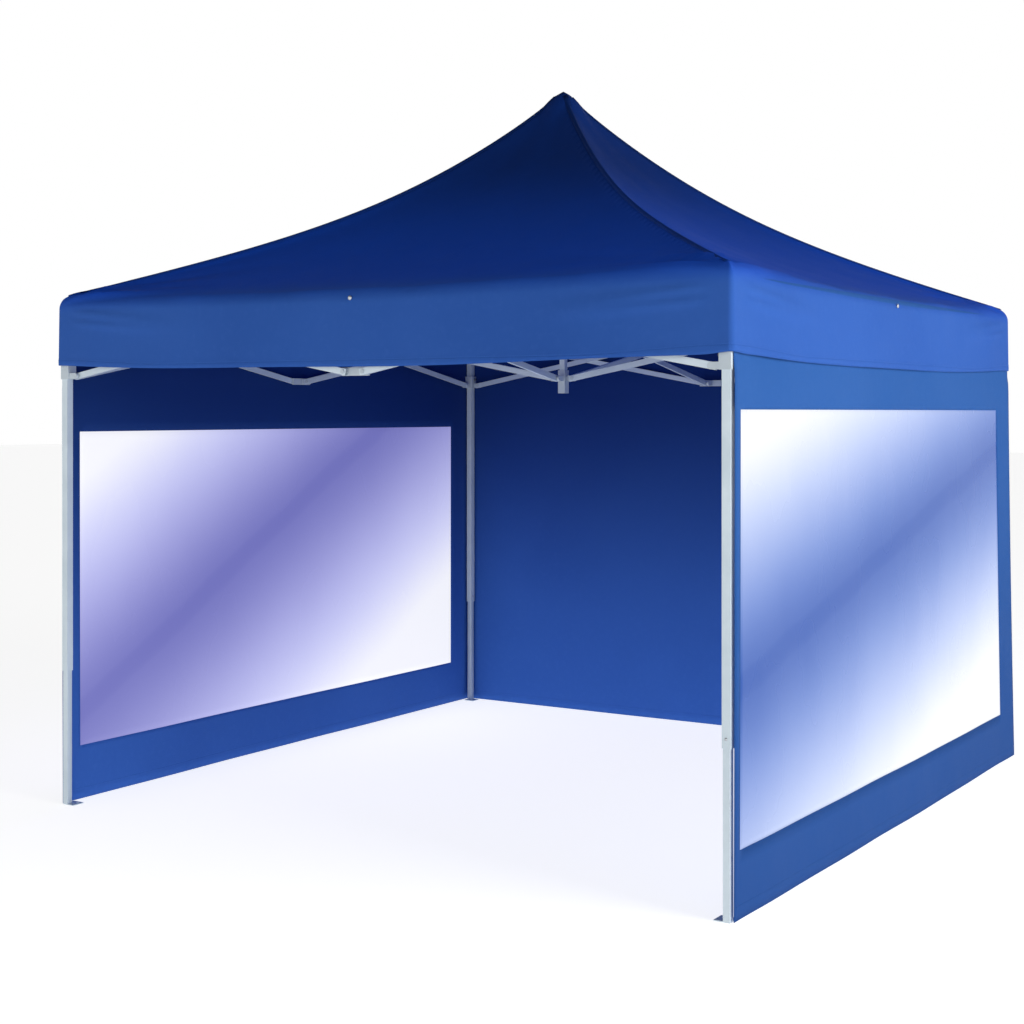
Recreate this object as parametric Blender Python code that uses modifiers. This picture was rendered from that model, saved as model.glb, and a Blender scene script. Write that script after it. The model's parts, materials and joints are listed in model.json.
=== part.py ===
"""Pop-up canopy: a folding square frame with a peaked roof, three walls and two windows.

Metres, +Z up. The origin is on the ground under the middle of the canopy, the open side faces -Y.
Every side of the frame is the front side turned about Z: front, right, back, left in quarter turns.
In the notes, t runs along a side and n points out of it.
"""
import bmesh
import bpy
from math import atan2, cos, hypot, pi, sin
from mathutils import Matrix, Vector

# ---- overall sizes -------------------------------------------------------------------------
ROOF_HALF = 1.5025          # centre to the valance's outer face
EAVE_Z = 2.065              # roof edge at a corner
PEAK_RISE = 0.930           # roof edge to peak
EAVE_SAG = 0.026            # how far the roof edge hangs at mid side
PANEL_SAG = 0.045           # how far a roof panel hangs between the hips
VALANCE_DROP = 0.272
VALANCE_FLARE = 0.008
ROOF_CELLS = 16             # grid cells across the roof
CLOTH = 0.003               # roof and valance
SHEET = 0.002               # walls and windows

# ---- clearances ----------------------------------------------------------------------------
GAP = 0.0003                # pieces that rest on or in each other
SLIDE_GAP = 0.0005          # slider on leg, hub on mast
TUBE_GAP = 0.0010           # one tube inside another
PIN_GAP = 0.0005            # bar hole round its pin
LAYER_GAP = 0.0010          # half the gap between the two layers of a truss
WALL_GAP = 0.0020           # slider to wall, and wall to valance

# ---- legs ----------------------------------------------------------------------------------
LEG_HALF = 0.015            # outer leg, half of its side
LEG_WALL = 0.0015
LEG_CAP = 0.015             # solid top end
LEG_BOTTOM = 0.545
LEG_OVERLAP = 0.355         # inner leg inside the outer leg
FOOT_PLATE = 0.004
FOOT_REACH = 0.045
PEG_R = 0.005

# ---- truss ---------------------------------------------------------------------------------
PIVOT_TOP = 2.000
TRUSS_DEPTH = 0.255         # top pivots to low pivots
BAR_THICK = 0.012
BAR_HIGH = 0.024
BAR_WALL = 0.0012
BAR_END = 0.014             # bar past its end hole
PIN_R = 0.004
HEAD_R = 0.008
HEAD_THICK = 0.003
LEG_REACH = 0.055           # leg axis to bar pivot
MID_HALF = 0.045            # mid joint's centre to bar pivot
MID_REACH = 0.050           # mid joint to the centre bar's pivot
HUB_REACH = 0.050           # mast axis to the centre bar's pivot
EYE_R = 0.012               # round end of a bracket
EYE_STEPS = 8               # flats round that end
PLATE_HALF = 0.015          # mid joint's plate, half height
PLATE_END = 0.014           # mid joint's plate past its pivots

# ---- slider and its pull pin -----------------------------------------------------------------
SLIDER_SKIN = 0.003         # slider's wall on the outer faces
SLIDER_BOSS = 0.0085        # slider's wall on the inner faces
SLIDER_UP = 0.050
SLIDER_DOWN = 0.013
LATCH_RISE = 0.034          # pull pin over the bar pivot
LATCH_R = 0.0025
KNOB_R = 0.007
KNOB_LONG = 0.009

# ---- hubs and mast ---------------------------------------------------------------------------
UPPER_HUB_WALL = 0.0112
LOWER_HUB_WALL = 0.0040
UPPER_HUB_HALF_HIGH = 0.020
LOWER_HUB_UP = 0.035
LOWER_HUB_DOWN = 0.065
LOWER_HUB_FLOOR = 0.015
MAST_HALF = 0.0125
MAST_WALL = 0.0015
MAST_TOP = 2.300
MAST_OVERLAP = 0.100        # inner mast inside the mast tube
CAP_UNDER_PEAK = 0.023      # cap's tip under the roof's peak
CAP_R = 0.024
CAP_TIP_R = 0.008
CAP_SKIRT = 0.032
CAP_CONE = 0.026
CAP_ROOF = 0.012            # solid over the inner mast's end

# ---- walls and windows -----------------------------------------------------------------------
WALL_BOTTOM = 0.012
WALL_TOP_GAP = 0.004        # wall's top edge under the roof
FRONT_HEM = 0.005           # side walls' front edge, forward of the leg axis
LEFT_WINDOW = (-1.377, 1.310, 0.230, 1.510)    # y from, y to, z from, z to
RIGHT_WINDOW = (-1.438, 1.300, 0.220, 1.607)

# ---- sizes that follow -----------------------------------------------------------------------
PIVOT_LOW = PIVOT_TOP - TRUSS_DEPTH
SLIDER_OUT = LEG_HALF + SLIDE_GAP + SLIDER_SKIN
SLIDER_IN = LEG_HALF + SLIDE_GAP + SLIDER_BOSS
WALL_IN = ROOF_HALF - CLOTH - WALL_GAP - SHEET
WALL_OUT = WALL_IN + SHEET
AXIS = WALL_IN - WALL_GAP - SLIDER_OUT          # leg axis from the centre, both ways
LEG_TOP = PIVOT_TOP + LEG_HALF + 2 * LEG_CAP
LAYER = LAYER_GAP + BAR_THICK / 2               # a layer's middle plane
LAYER_OUT = LAYER_GAP + BAR_THICK               # a layer's far face
HEAD_IN = LAYER_OUT + SLIDE_GAP
HEAD_OUT = HEAD_IN + HEAD_THICK
HOLE_R = PIN_R + PIN_GAP
PIVOT_LEG = AXIS - LEG_REACH
SIDE_RUN = PIVOT_LEG - MID_HALF
PIVOT_MID = AXIS - MID_REACH
ARM_RUN = PIVOT_MID - HUB_REACH
SIDE_BAR = hypot(SIDE_RUN, TRUSS_DEPTH)
SIDE_SLOPE = atan2(TRUSS_DEPTH, SIDE_RUN)
ARM_BAR = hypot(ARM_RUN, TRUSS_DEPTH)
ARM_SLOPE = atan2(TRUSS_DEPTH, ARM_RUN)
INNER_LEG_HALF = LEG_HALF - LEG_WALL - TUBE_GAP
INNER_LEG_TOP = LEG_BOTTOM + LEG_OVERLAP
INNER_MAST_HALF = MAST_HALF - MAST_WALL - TUBE_GAP
MAST_BOTTOM = PIVOT_LOW - LOWER_HUB_DOWN + LOWER_HUB_FLOOR + 0.005
PEAK_Z = EAVE_Z + PEAK_RISE
CAP_TIP = PEAK_Z - CAP_UNDER_PEAK
INNER_MAST_TOP = CAP_TIP - CAP_ROOF - GAP
WALL_TOP = EAVE_Z - EAVE_SAG - CLOTH - WALL_TOP_GAP

SIDES = ("front", "right", "back", "left")
CORNERS = ("fr", "br", "bl", "fl")              # the corner at each side's +t end


# ---- scene -----------------------------------------------------------------------------------
for old in list(bpy.data.objects):
    bpy.data.objects.remove(old, do_unlink=True)

canopy_parts = bpy.data.collections.new("pop_up_canopy")
bpy.context.scene.collection.children.link(canopy_parts)


def material(name, colour, roughness, metallic):
    made = bpy.data.materials.new(name)
    made.use_nodes = True
    shader = made.node_tree.nodes["Principled BSDF"]
    shader.inputs["Base Color"].default_value = (*colour, 1.0)
    shader.inputs["Roughness"].default_value = roughness
    shader.inputs["Metallic"].default_value = metallic
    return made


FRAME_PAINT = material("frame_paint", (0.66, 0.74, 0.78), 0.38, 0.1)
JOINT_PLASTIC = material("joint_plastic", (0.62, 0.69, 0.74), 0.5, 0.0)
LATCH_PLASTIC = material("latch_plastic", (0.30, 0.33, 0.36), 0.45, 0.0)
ROOF_CLOTH = material("roof_cloth", (0.02, 0.08, 0.33), 0.7, 0.0)
WALL_CLOTH = material("wall_cloth", (0.04, 0.14, 0.42), 0.7, 0.0)
WINDOW_FILM = material("window_film", (0.62, 0.64, 0.80), 0.2, 0.0)


# ---- modelling helpers -----------------------------------------------------------------------
def block(low, high):
    """A box between two corners, as a loose object."""
    low = Vector(low)
    high = Vector(high)
    bm = bmesh.new()
    bmesh.ops.create_cube(bm, size=1.0)
    bmesh.ops.scale(bm, vec=high - low, verts=bm.verts)
    bmesh.ops.translate(bm, vec=(high + low) / 2, verts=bm.verts)
    return loose(bm)


def rod(start, end, radius, segments=10, end_radius=None):
    """A round bar or a cone between two points, as a loose object."""
    start = Vector(start)
    end = Vector(end)
    span = end - start
    bm = bmesh.new()
    bmesh.ops.create_cone(
        bm, cap_ends=True, segments=segments, radius1=radius,
        radius2=radius if end_radius is None else end_radius, depth=span.length,
    )
    turn = Vector((0, 0, 1)).rotation_difference(span).to_matrix().to_4x4()
    bmesh.ops.transform(bm, matrix=Matrix.Translation((start + end) / 2) @ turn, verts=bm.verts)
    return loose(bm)


def as_object(mesh):
    made = bpy.data.objects.new("loose", mesh)
    canopy_parts.objects.link(made)
    return made


def loose(bm):
    mesh = bpy.data.meshes.new("loose")
    bm.to_mesh(mesh)
    bm.free()
    return as_object(mesh)


def build(base, joined=(), cut=(), origin=(0, 0, 0)):
    """One mesh from a base, the pieces joined to it and the shapes cut from it, moved so that
    the given point is its origin. The joined pieces go on before the cuts are made."""
    for other, operation in [(o, "UNION") for o in joined] + [(o, "DIFFERENCE") for o in cut]:
        step = base.modifiers.new(operation.lower(), "BOOLEAN")
        step.operation = operation
        step.solver = "EXACT"
        step.object = other
    graph = bpy.context.evaluated_depsgraph_get()
    mesh = bpy.data.meshes.new_from_object(base.evaluated_get(graph))
    mesh.transform(Matrix.Translation(-Vector(origin)))
    for used in [base, *joined, *cut]:
        bpy.data.objects.remove(used, do_unlink=True)
    return mesh


def place(name, mesh, look, at=(0, 0, 0), quarter=0, tilt=0.0, heading=0.0, smooth=True):
    """Puts a named piece at a point of the front side, turned by quarter turns to its own side."""
    turn = Matrix.Rotation(quarter * pi / 2, 3, "Z")
    made = bpy.data.objects.new(name, mesh)
    made.location = turn @ Vector(at)
    made.rotation_euler = (0.0, tilt, heading + quarter * pi / 2)
    canopy_parts.objects.link(made)
    if not mesh.materials:
        mesh.materials.append(look)
    if smooth:
        mesh.shade_smooth()
        mesh.set_sharp_from_angle(angle=0.6)
    return made


def box_tube(half_x, half_y, z_low, z_high, wall, top=0.0, bottom=0.0):
    """The two boxes of a square tube: its outside, and its bore, which stops short of a solid end."""
    outside = block((-half_x, -half_y, z_low), (half_x, half_y, z_high))
    past = 0.01
    bore = block(
        (wall - half_x, wall - half_y, z_low + bottom if bottom else z_low - past),
        (half_x - wall, half_y - wall, z_high - top if top else z_high + past),
    )
    return outside, bore


def eye_along_y(x_from, x_to, y_mid, z, pin_side):
    """A bracket in one layer of a truss that lies across y, with its pivot pin and pin head."""
    outward = 1 if x_to > x_from else -1
    profile = [(x_from, z - EYE_R)]
    for k in range(EYE_STEPS + 1):
        angle = pi * k / EYE_STEPS - pi / 2
        profile.append((x_to + outward * EYE_R * cos(angle), z + EYE_R * sin(angle)))
    profile.append((x_from, z + EYE_R))
    bm = bmesh.new()
    near = bm.faces.new([bm.verts.new((x, y_mid - BAR_THICK / 2, up)) for x, up in profile])
    grown = bmesh.ops.extrude_face_region(bm, geom=[near])["geom"]
    for vert in [g for g in grown if isinstance(g, bmesh.types.BMVert)]:
        vert.co.y += BAR_THICK
    bmesh.ops.recalc_face_normals(bm, faces=bm.faces)
    return [loose(bm), *pin_along_y(x_to, y_mid, z, pin_side)]


def pin_along_y(x, y_mid, z, pin_side, root=0.0):
    """A pin from one layer through the other layer, with its head. root is how far behind the
    first layer's middle the pin starts."""
    into = y_mid - pin_side * root
    under_head = y_mid + pin_side * (LAYER + HEAD_IN)
    over_head = y_mid + pin_side * (LAYER + HEAD_OUT)
    shank = rod((x, into, z), (x, under_head + pin_side * HEAD_THICK / 2, z), PIN_R)
    head = rod((x, under_head, z), (x, over_head, z), HEAD_R, 12)
    return [shank, head]


def quarter_turned(pieces, quarter):
    """The same loose pieces turned about Z by quarter turns."""
    for piece in pieces:
        for vert in piece.data.vertices:
            for _ in range(quarter):
                vert.co.x, vert.co.y = -vert.co.y, vert.co.x
    return pieces


# ---- truss bars ------------------------------------------------------------------------------
def bar(length, start, pin_side=0):
    """A rectangular tube along X with a hole at each end. Its first hole is at X = start.
    The middle has a hole, or with a pin_side the pin that goes through the crossing bar."""
    half_thick = BAR_THICK / 2
    half_high = BAR_HIGH / 2
    outside = block((start - BAR_END, -half_thick, -half_high),
                    (start + length + BAR_END, half_thick, half_high))
    bore = block((start - 2 * BAR_END, BAR_WALL - half_thick, BAR_WALL - half_high),
                 (start + length + 2 * BAR_END, half_thick - BAR_WALL, half_high - BAR_WALL))
    holes = [start, start + length]
    middle = start + length / 2
    if not pin_side:
        holes.append(middle)
    drills = [rod((x, -BAR_THICK, 0), (x, BAR_THICK, 0), HOLE_R) for x in holes]
    mesh = build(outside, cut=[bore, *drills])
    if not pin_side:
        return mesh
    tube = as_object(mesh)
    pin = pin_along_y(middle, 0.0, 0.0, pin_side, half_thick - BAR_WALL / 2)
    return build(tube, joined=pin)


side_bar_pin_in = bar(SIDE_BAR, 0.0, 1)
side_bar_pin_out = bar(SIDE_BAR, 0.0, -1)
side_bar_plain = bar(SIDE_BAR, 0.0)
arm_bar_pin = bar(ARM_BAR, 0.0, -1)
arm_bar_plain = bar(ARM_BAR, -ARM_BAR / 2)

for k, side in enumerate(SIDES):
    plus = CORNERS[k]
    minus = CORNERS[k - 1]
    outer_y = -AXIS - LAYER
    inner_y = -AXIS + LAYER
    place(f"{side}_top_bar_{plus}", side_bar_pin_in, FRAME_PAINT,
          (MID_HALF, outer_y, PIVOT_LOW), k, -SIDE_SLOPE)
    place(f"{side}_top_bar_{minus}", side_bar_pin_out, FRAME_PAINT,
          (-MID_HALF, outer_y, PIVOT_LOW), k, -SIDE_SLOPE, pi)
    place(f"{side}_slider_bar_{plus}", side_bar_plain, FRAME_PAINT,
          (MID_HALF, inner_y, PIVOT_TOP), k, SIDE_SLOPE)
    place(f"{side}_slider_bar_{minus}", side_bar_plain, FRAME_PAINT,
          (-MID_HALF, inner_y, PIVOT_TOP), k, SIDE_SLOPE, pi)
    place(f"centre_top_bar_{side}", arm_bar_pin, FRAME_PAINT,
          (LAYER, -HUB_REACH, PIVOT_TOP), k, ARM_SLOPE, -pi / 2)
    place(f"centre_low_bar_{side}", arm_bar_plain, FRAME_PAINT,
          (-LAYER, -HUB_REACH - ARM_RUN / 2, (PIVOT_TOP + PIVOT_LOW) / 2), k, -ARM_SLOPE, -pi / 2)

# ---- legs, made on their own axis for the front right corner ----------------------------------
tube, bore = box_tube(LEG_HALF, LEG_HALF, LEG_BOTTOM, LEG_TOP, LEG_WALL, top=LEG_CAP)
shell = as_object(build(tube, cut=[bore]))
into_leg = LEG_HALF - LEG_WALL / 2
front_ear = eye_along_y(-into_leg, -LEG_REACH, LAYER, PIVOT_TOP, -1)
right_ear = quarter_turned(eye_along_y(into_leg, LEG_REACH, LAYER, PIVOT_TOP, -1), 1)
leg_pivot = (-LEG_REACH, 0, PIVOT_TOP)
outer_leg = build(shell, joined=[*front_ear, *right_ear], origin=leg_pivot)

tube, bore = box_tube(INNER_LEG_HALF, INNER_LEG_HALF, 0.0, INNER_LEG_TOP, LEG_WALL, bottom=FOOT_PLATE)
foot = block((-FOOT_REACH, -INNER_LEG_HALF, 0), (INNER_LEG_HALF, FOOT_REACH, FOOT_PLATE))
peg_at = (INNER_LEG_HALF + FOOT_REACH) / 2
peg_hole = rod((-peg_at, peg_at, -0.01), (-peg_at, peg_at, 0.01), PEG_R, 12)
inner_leg = build(tube, joined=[foot], cut=[bore, peg_hole])

# ---- slider and pull pin ------------------------------------------------------------------------
slider_low = PIVOT_LOW - SLIDER_DOWN
slider_high = PIVOT_LOW + SLIDER_UP
body = block((-SLIDER_IN, -SLIDER_OUT, slider_low), (SLIDER_OUT, SLIDER_IN, slider_high))
leg_room = LEG_HALF + SLIDE_GAP
leg_hole = block((-leg_room, -leg_room, slider_low - 0.01), (leg_room, leg_room, slider_high + 0.01))
latch_z = PIVOT_LOW + LATCH_RISE
latch_hole = rod((-SLIDER_IN - 0.01, 0, latch_z), (0, 0, latch_z), LATCH_R + SLIDE_GAP)
front_ear = eye_along_y(-SLIDER_IN + 0.001, -LEG_REACH, -LAYER, PIVOT_LOW, 1)
right_ear = quarter_turned(eye_along_y(SLIDER_IN - 0.001, LEG_REACH, -LAYER, PIVOT_LOW, 1), 1)
slider = build(body, joined=[*front_ear, *right_ear], cut=[leg_hole, latch_hole],
               origin=(-LEG_REACH, 0, PIVOT_LOW))

knob_x = -SLIDER_IN - GAP
shank = rod((knob_x - KNOB_LONG / 2, 0, 0), (-leg_room - GAP, 0, 0), LATCH_R)
grip = rod((knob_x, 0, 0), (knob_x - KNOB_LONG, 0, 0), KNOB_R, 16)
latch = build(grip, joined=[shank])

for k, corner in enumerate(CORNERS):
    place(f"outer_leg_{corner}", outer_leg, FRAME_PAINT, (AXIS - LEG_REACH, -AXIS, PIVOT_TOP), k)
    place(f"inner_leg_{corner}", inner_leg, FRAME_PAINT, (AXIS, -AXIS, 0), k)
    place(f"slider_{corner}", slider, JOINT_PLASTIC, (AXIS - LEG_REACH, -AXIS, PIVOT_LOW), k)
    place(f"latch_{corner}", latch, LATCH_PLASTIC, (AXIS, -AXIS, latch_z), k)

# ---- joints at the middle of each side, made for the front ----------------------------------------
plate_half = MID_HALF + PLATE_END


def mid_joint(z, layer):
    """A plate in one layer with two bar pins, and an eye on one side of the centre bars."""
    y = layer * LAYER
    plate = block((-plate_half, y - BAR_THICK / 2, z - PLATE_HALF),
                  (plate_half, y + BAR_THICK / 2, z + PLATE_HALF))
    pins = pin_along_y(-MID_HALF, y, z, -layer) + pin_along_y(MID_HALF, y, z, -layer)
    arm = quarter_turned(eye_along_y(y, MID_REACH, layer * LAYER, z, -layer), 1)
    return build(plate, joined=[*pins, *arm], origin=(0, MID_REACH, z))


top_joint = mid_joint(PIVOT_TOP, -1)
bottom_joint = mid_joint(PIVOT_LOW, 1)
for k, side in enumerate(SIDES):
    place(f"top_joint_{side}", top_joint, JOINT_PLASTIC, (0, MID_REACH - AXIS, PIVOT_TOP), k)
    place(f"bottom_joint_{side}", bottom_joint, JOINT_PLASTIC, (0, MID_REACH - AXIS, PIVOT_LOW), k)


# ---- hubs and mast ----------------------------------------------------------------------------------
def hub(low, high, z, layer, room, wall, floor=0.0):
    """A block round the mast with four eyes that start inside its wall. layer says on which side
    of each arm the eyes are."""
    half = room + wall
    body = block((-half, -half, low), (half, half, high))
    eyes = []
    for quarter in range(4):
        eyes += quarter_turned(
            eye_along_y(half - wall / 2, HUB_REACH, layer * LAYER, z, -layer), quarter)
    hole = block((-room, -room, low + floor if floor else low - 0.01), (room, room, high + 0.01))
    return body, eyes, hole


body, eyes, hole = hub(PIVOT_TOP - UPPER_HUB_HALF_HIGH, PIVOT_TOP + UPPER_HUB_HALF_HIGH,
                       PIVOT_TOP, -1, MAST_HALF + GAP, UPPER_HUB_WALL)
upper_hub = build(body, joined=eyes, cut=[hole], origin=(0, 0, PIVOT_TOP))
place("upper_hub", upper_hub, JOINT_PLASTIC, (0, 0, PIVOT_TOP))

body, eyes, hole = hub(PIVOT_LOW - LOWER_HUB_DOWN, PIVOT_LOW + LOWER_HUB_UP,
                       PIVOT_LOW, 1, MAST_HALF + SLIDE_GAP, LOWER_HUB_WALL, LOWER_HUB_FLOOR)
lower_hub = build(body, joined=eyes, cut=[hole], origin=(0, -HUB_REACH, PIVOT_LOW))
place("lower_hub", lower_hub, JOINT_PLASTIC, (0, -HUB_REACH, PIVOT_LOW))

tube, bore = box_tube(MAST_HALF, MAST_HALF, MAST_BOTTOM, MAST_TOP, MAST_WALL)
place("mast_tube", build(tube, cut=[bore]), FRAME_PAINT)
tube, bore = box_tube(INNER_MAST_HALF, INNER_MAST_HALF, MAST_TOP - MAST_OVERLAP,
                      INNER_MAST_TOP, MAST_WALL)
place("inner_mast", build(tube, cut=[bore]), FRAME_PAINT)

cap_low = CAP_TIP - CAP_CONE - CAP_SKIRT
skirt = rod((0, 0, cap_low), (0, 0, CAP_TIP - CAP_CONE), CAP_R, 24)
cone = rod((0, 0, CAP_TIP - CAP_CONE - 0.002), (0, 0, CAP_TIP), CAP_R, 24, CAP_TIP_R)
socket_half = INNER_MAST_HALF + GAP
socket = block((-socket_half, -socket_half, cap_low - 0.01),
               (socket_half, socket_half, CAP_TIP - CAP_ROOF))
place("peak_cap", build(skirt, joined=[cone], cut=[socket]), JOINT_PLASTIC)


# ---- roof and valance, one sheet ----------------------------------------------------------------------
def roof_height(x, y):
    """The roof over a point: a concave hip, and panels that hang between the hips."""
    far = min(max(abs(x), abs(y)) / ROOF_HALF, 1.0)
    near = min(abs(x), abs(y)) / ROOF_HALF
    across = near / far if far > 0 else 1.0
    hip = EAVE_Z + PEAK_RISE * (0.62 * (1 - far) + 0.38 * (1 - far) ** 3.5)
    hang = EAVE_SAG * far * far + PANEL_SAG * sin(pi * far)
    return hip - hang * (1 - across ** 2)


bm = bmesh.new()
bmesh.ops.create_grid(bm, x_segments=ROOF_CELLS, y_segments=ROOF_CELLS, size=ROOF_HALF)
for face in list(bm.faces):
    middle = face.calc_center_median()
    slant = 1 if middle.x * middle.y > 0 else -1
    ends = sorted(face.verts, key=lambda v: (v.co.x - middle.x) + slant * (v.co.y - middle.y))
    bmesh.utils.face_split(face, ends[0], ends[-1])
for vert in bm.verts:
    vert.co.z = roof_height(vert.co.x, vert.co.y)
edge = [e for e in bm.edges if e.is_boundary]
for step in range(2):
    grown = bmesh.ops.extrude_edge_only(bm, edges=edge)["geom"]
    edge = [g for g in grown if isinstance(g, bmesh.types.BMEdge)]
    for vert in [g for g in grown if isinstance(g, bmesh.types.BMVert)]:
        vert.co.z -= VALANCE_DROP / 2
        for i in (0, 1):
            if abs(vert.co[i]) > ROOF_HALF - 0.001:
                vert.co[i] += VALANCE_FLARE / 2 * (1 if vert.co[i] > 0 else -1)
bmesh.ops.recalc_face_normals(bm, faces=bm.faces)
if max(bm.faces, key=lambda f: f.calc_center_median().z).normal.z < 0:
    bmesh.ops.reverse_faces(bm, faces=bm.faces)
roof_mesh = bpy.data.meshes.new("canopy")
bm.to_mesh(roof_mesh)
bm.free()
canopy = place("canopy", roof_mesh, ROOF_CLOTH, smooth=False)
thick = canopy.modifiers.new("thick", "SOLIDIFY")
thick.thickness = CLOTH
thick.offset = -1.0
thick.use_even_offset = True


# ---- walls and windows ------------------------------------------------------------------------------------
def wall(name, window, side):
    """A side wall with its window. side is -1 for the left and 1 for the right."""
    x_low = min(side * WALL_IN, side * WALL_OUT)
    x_high = max(side * WALL_IN, side * WALL_OUT)
    sheet = block((x_low, -AXIS - FRONT_HEM, WALL_BOTTOM), (x_high, WALL_IN - GAP, WALL_TOP))
    y_from, y_to, z_from, z_to = window
    opening = block((x_low - 0.01, y_from, z_from), (x_high + 0.01, y_to, z_to))
    place(f"wall_{name}", build(sheet, cut=[opening]), WALL_CLOTH, smooth=False)
    pane = block((x_low, y_from + GAP, z_from + GAP), (x_high, y_to - GAP, z_to - GAP))
    place(f"window_{name}", build(pane), WINDOW_FILM, smooth=False)


wall("left", LEFT_WINDOW, -1)
wall("right", RIGHT_WINDOW, 1)
back = block((-WALL_OUT, WALL_IN, WALL_BOTTOM), (WALL_OUT, WALL_OUT, WALL_TOP))
place("wall_back", build(back), WALL_CLOTH, smooth=False)
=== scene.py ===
"""Looks of the pop-up canopy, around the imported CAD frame. Metres, Z up, open side at -Y."""
import json
from math import pi, radians

import bmesh
import bpy
import numpy as np
from mathutils import Matrix, Vector

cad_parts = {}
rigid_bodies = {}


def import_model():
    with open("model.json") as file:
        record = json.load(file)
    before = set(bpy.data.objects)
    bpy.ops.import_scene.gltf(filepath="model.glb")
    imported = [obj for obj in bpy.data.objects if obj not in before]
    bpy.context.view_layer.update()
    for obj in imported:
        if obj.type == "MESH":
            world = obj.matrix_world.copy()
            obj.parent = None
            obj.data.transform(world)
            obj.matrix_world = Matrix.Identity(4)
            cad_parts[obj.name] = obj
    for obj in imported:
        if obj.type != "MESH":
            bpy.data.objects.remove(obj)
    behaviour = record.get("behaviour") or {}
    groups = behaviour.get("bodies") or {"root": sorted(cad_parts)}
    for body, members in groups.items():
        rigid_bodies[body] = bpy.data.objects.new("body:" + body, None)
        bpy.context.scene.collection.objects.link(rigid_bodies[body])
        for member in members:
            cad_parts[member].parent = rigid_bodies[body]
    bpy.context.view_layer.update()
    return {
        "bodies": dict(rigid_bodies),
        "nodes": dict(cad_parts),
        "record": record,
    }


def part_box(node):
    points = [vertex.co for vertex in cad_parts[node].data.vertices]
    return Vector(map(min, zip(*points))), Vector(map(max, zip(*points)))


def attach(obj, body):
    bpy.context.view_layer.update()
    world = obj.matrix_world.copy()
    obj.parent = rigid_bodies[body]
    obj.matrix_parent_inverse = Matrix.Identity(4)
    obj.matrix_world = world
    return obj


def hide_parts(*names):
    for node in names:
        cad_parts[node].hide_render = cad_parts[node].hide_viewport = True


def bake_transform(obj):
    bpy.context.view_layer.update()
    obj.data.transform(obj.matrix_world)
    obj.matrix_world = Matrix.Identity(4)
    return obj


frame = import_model()
bodies = frame["bodies"]

# ---- sizes that repeat the CAD's -----------------------------------------------------------------
HALF = 1.5025               # centre to the valance
EAVE_Z = 2.065              # roof edge at a corner
PEAK_RISE = 0.930           # roof edge to peak
EAVE_SAG = 0.026            # how far the roof edge hangs at mid side
PANEL_SAG = 0.045           # how far a roof panel hangs between the hips
VALANCE_DROP = 0.272
LEG_HALF = 0.015
LEG_PROUD = 0.0015          # what the outer leg's box holds outside its tube
LEG_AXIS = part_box("outer_leg_fr")[1][0] - LEG_HALF - LEG_PROUD
WALL_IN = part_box("wall_right")[0][0]
WALL_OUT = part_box("wall_right")[1][0]
WALL_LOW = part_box("wall_right")[0][2]
WALL_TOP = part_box("wall_right")[1][2]
VALANCE_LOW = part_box("canopy")[0][2]
FOLD_SPAN = 1.515           # where a hook's weight reaches all or nothing
SIDES = ("front", "right", "back", "left")
WALLED = SIDES[1:]
CORNER_SIGNS = {"fr": (1, -1), "br": (1, 1), "bl": (-1, 1), "fl": (-1, -1)}
CORNERS = tuple(CORNER_SIGNS)
DIAGONAL = 0.7071           # a step along the diagonal, as a share along X or Y

# ---- sizes that belong to the looks --------------------------------------------------------------
WEAVE_PITCH = 0.0016
TAPE_PITCH = 0.0011
STITCH_PITCH = 0.007
EAVE_R = 0.042              # how softly the roof turns down into the valance
CORNER_R = 0.016            # the valance's corners in plan
EDGE_BAND = 0.06            # strip along the eave with finer cells
VALANCE_ROWS = 22
ROOF_SHEET = 0.0009         # thickness of the roof and valance
TIP_Z = 2.987               # the soft round tip over the mast cap
TIP_CURVE = 9.5
TIP_BLEND = 0.010
GROOVE_DEEP = 0.009         # dip in a panel beside each hip
GROOVE_OUT = 0.05
TAPE_HALF = 0.011           # the tape sewn along each hip
TAPE_LIFT = 0.0012
TAPE_CROWN = 0.0010
TAPE_SHEET = 0.0008
SHEET = 0.0010              # thickness of the walls
FLARE = 0.070               # how far the right wall's far bottom corner stands out
FILM_SHEET = 0.0006
FILM_INSET = 0.0012
FILM_LAP = 0.008            # film under the wall's edge, all round a window
WALL_END = 0.005            # a side wall past the leg's axis
PROUD_FOLDED = 0.075        # how far folded cloth keeps its outer edge out, as a share
ROOF_PLEAT = 0.035          # depth of the folded roof's pleats, as a share
WALL_PLEAT = 0.055          # depth of the folded walls' pleats, as a share


# ---- mesh helpers --------------------------------------------------------------------------------
def smoothstep(x):
    x = np.clip(x, 0.0, 1.0)
    return x * x * (3 - 2 * x)


def new_object(name, verts, faces, material):
    mesh = bpy.data.meshes.new(name)
    mesh.from_pydata([tuple(v) for v in np.asarray(verts, float)], [],
                     [tuple(map(int, f)) for f in faces])
    mesh.validate()
    mesh.materials.append(material)
    made = bpy.data.objects.new(name, mesh)
    bpy.context.scene.collection.objects.link(made)
    mesh.shade_smooth()
    return made


def grid_faces(rows, cols, start=0):
    """Quads between rows x cols points laid out row by row."""
    r, c = np.meshgrid(np.arange(rows - 1), np.arange(cols - 1), indexing="ij")
    a = start + r * cols + c
    return np.stack([a, a + 1, a + cols + 1, a + cols], -1).reshape(-1, 4)


def thicken(obj, thickness, offset=-1.0):
    step = obj.modifiers.new("thick", "SOLIDIFY")
    step.thickness = thickness
    step.offset = offset
    return step


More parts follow.
